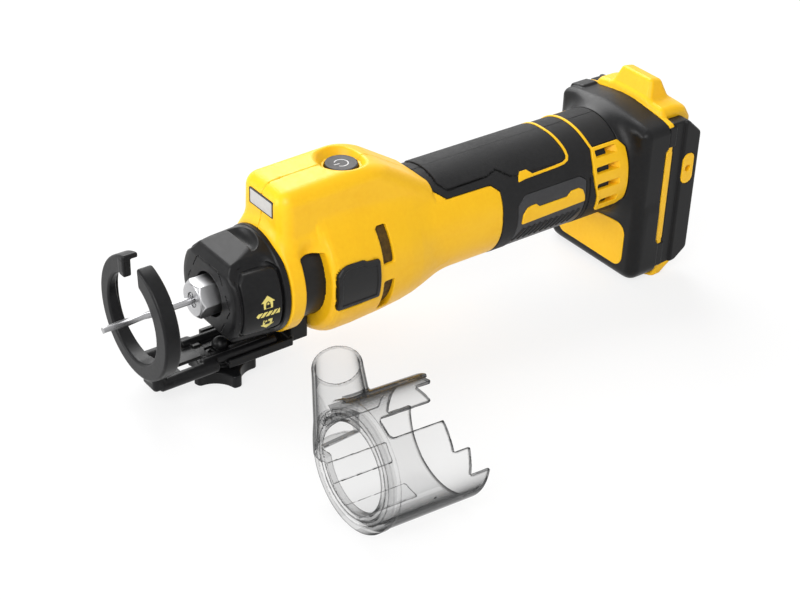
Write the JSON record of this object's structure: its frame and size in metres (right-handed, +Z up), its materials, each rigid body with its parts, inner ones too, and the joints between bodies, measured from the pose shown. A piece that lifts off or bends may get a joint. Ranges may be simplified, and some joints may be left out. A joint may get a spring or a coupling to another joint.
{
  "type": "cordless drywall cut out tool",
  "caption": "Cordless rotary cut out tool with hex collet nut, twist lock sleeve, open ring depth guide on a clamped slide, rubber grip, battery foot and a separate clear dust shroud.",
  "frame": {"origin": "point where the spindle axis meets the front face of the depth guide's ring", "axes": "+X along the spindle from the guide towards the battery foot, +Z up through the power button, +Y to the right side of the tool"},
  "size_m": [0.3744, 0.2135, 0.1247],
  "materials": {
    "yellow_plastic": "satin gloss moulded plastic",
    "black_rubber": "fine grained overmould",
    "black_plastic": "fine satin",
    "grey_plastic": "fine satin",
    "bright_steel": "bright ground steel",
    "dark_steel": "plain steel",
    "copper": "enamelled wire",
    "blade_brass": "plain",
    "sink_aluminium": "plain",
    "circuit_board": "coated board",
    "wire_cover": "smooth",
    "frosted_lens": "frosted",
    "clear_plastic": "clear polished"
  },
  "bodies": {
    "tool": {"housing_left": "yellow_plastic", "housing_right": "yellow_plastic", "grip_left": "black_rubber", "grip_right": "black_rubber", "nose_drum": "black_plastic", "front_bearing": "bright_steel", "rear_bearing": "bright_steel", "stator_core": "dark_steel", "stator_windings": "copper", "sensor_board": "circuit_board", "motor_leads": "wire_cover", "switch_module": "black_plastic", "light_lens": "frosted_lens", "light_board": "circuit_board", "side_pad_left": "black_rubber", "side_pad_right": "black_rubber", "side_plate_left": "yellow_plastic", "side_plate_right": "yellow_plastic", "vent_panel_left": "yellow_plastic", "vent_panel_right": "yellow_plastic", "foot_shell": "black_plastic", "rating_plate": "yellow_plastic", "battery_base": "yellow_plastic", "battery_rail_left": "black_plastic", "battery_rail_right": "black_plastic", "hook_insert_left": "yellow_plastic", "hook_insert_right": "yellow_plastic", "terminal_block": "black_plastic", "terminal_blades": "blade_brass", "controller": "circuit_board", "heat_sink": "sink_aluminium", "housing_screws": "dark_steel", "guide_bracket": "black_plastic", "clamp_bolt": "dark_steel"},
    "spindle": {"spindle_shaft": "dark_steel", "rotor_core": "dark_steel", "rotor_magnets": "bright_steel", "cooling_fan": "black_plastic", "collet": "dark_steel"},
    "nut": {"collet_nut": "bright_steel"},
    "bit": {"cutting_bit": "bright_steel"},
    "sleeve": {"lock_sleeve": "black_plastic"},
    "button": {"power_button": "grey_plastic"},
    "guide": {"depth_guide": "black_plastic"},
    "knob": {"clamp_knob": "black_plastic"},
    "shroud": {"dust_shroud": "clear_plastic"}
  },
  "joints": [
    {"name": "spindle_spin", "type": "hinge", "parent": "tool", "child": "spindle", "pos_m": [0.1, 0, 0], "axis": [1, 0, 0], "continuous": true},
    {"name": "nut_turn", "type": "hinge", "parent": "spindle", "child": "nut", "pos_m": [0.04, 0, 0], "axis": [1, 0, 0], "range_deg": [0, 360]},
    {"name": "bit_pull", "type": "slide", "parent": "spindle", "child": "bit", "axis": [-1, 0, 0], "range_m": [0, 0.045]},
    {"name": "sleeve_twist", "type": "hinge", "parent": "tool", "child": "sleeve", "pos_m": [0.06, 0, 0], "axis": [1, 0, 0], "range_deg": [0, 40]},
    {"name": "button_press", "type": "slide", "parent": "tool", "child": "button", "axis": [0, 0, -1], "range_m": [0, 0.0015], "stiffness_N_per_m": 900},
    {"name": "guide_slide", "type": "slide", "parent": "tool", "child": "guide", "axis": [1, 0, 0], "range_m": [-0.018, 0.006]},
    {"name": "knob_turn", "type": "hinge", "parent": "tool", "child": "knob", "pos_m": [0.05, 0, -0.045], "axis": [0, 0, 1], "range_deg": [0, 360]},
    {"name": "shroud_lift", "type": "slide", "parent": "tool", "child": "shroud", "axis": [0, 0, 1], "range_m": [0, 0.06]}
  ]
}
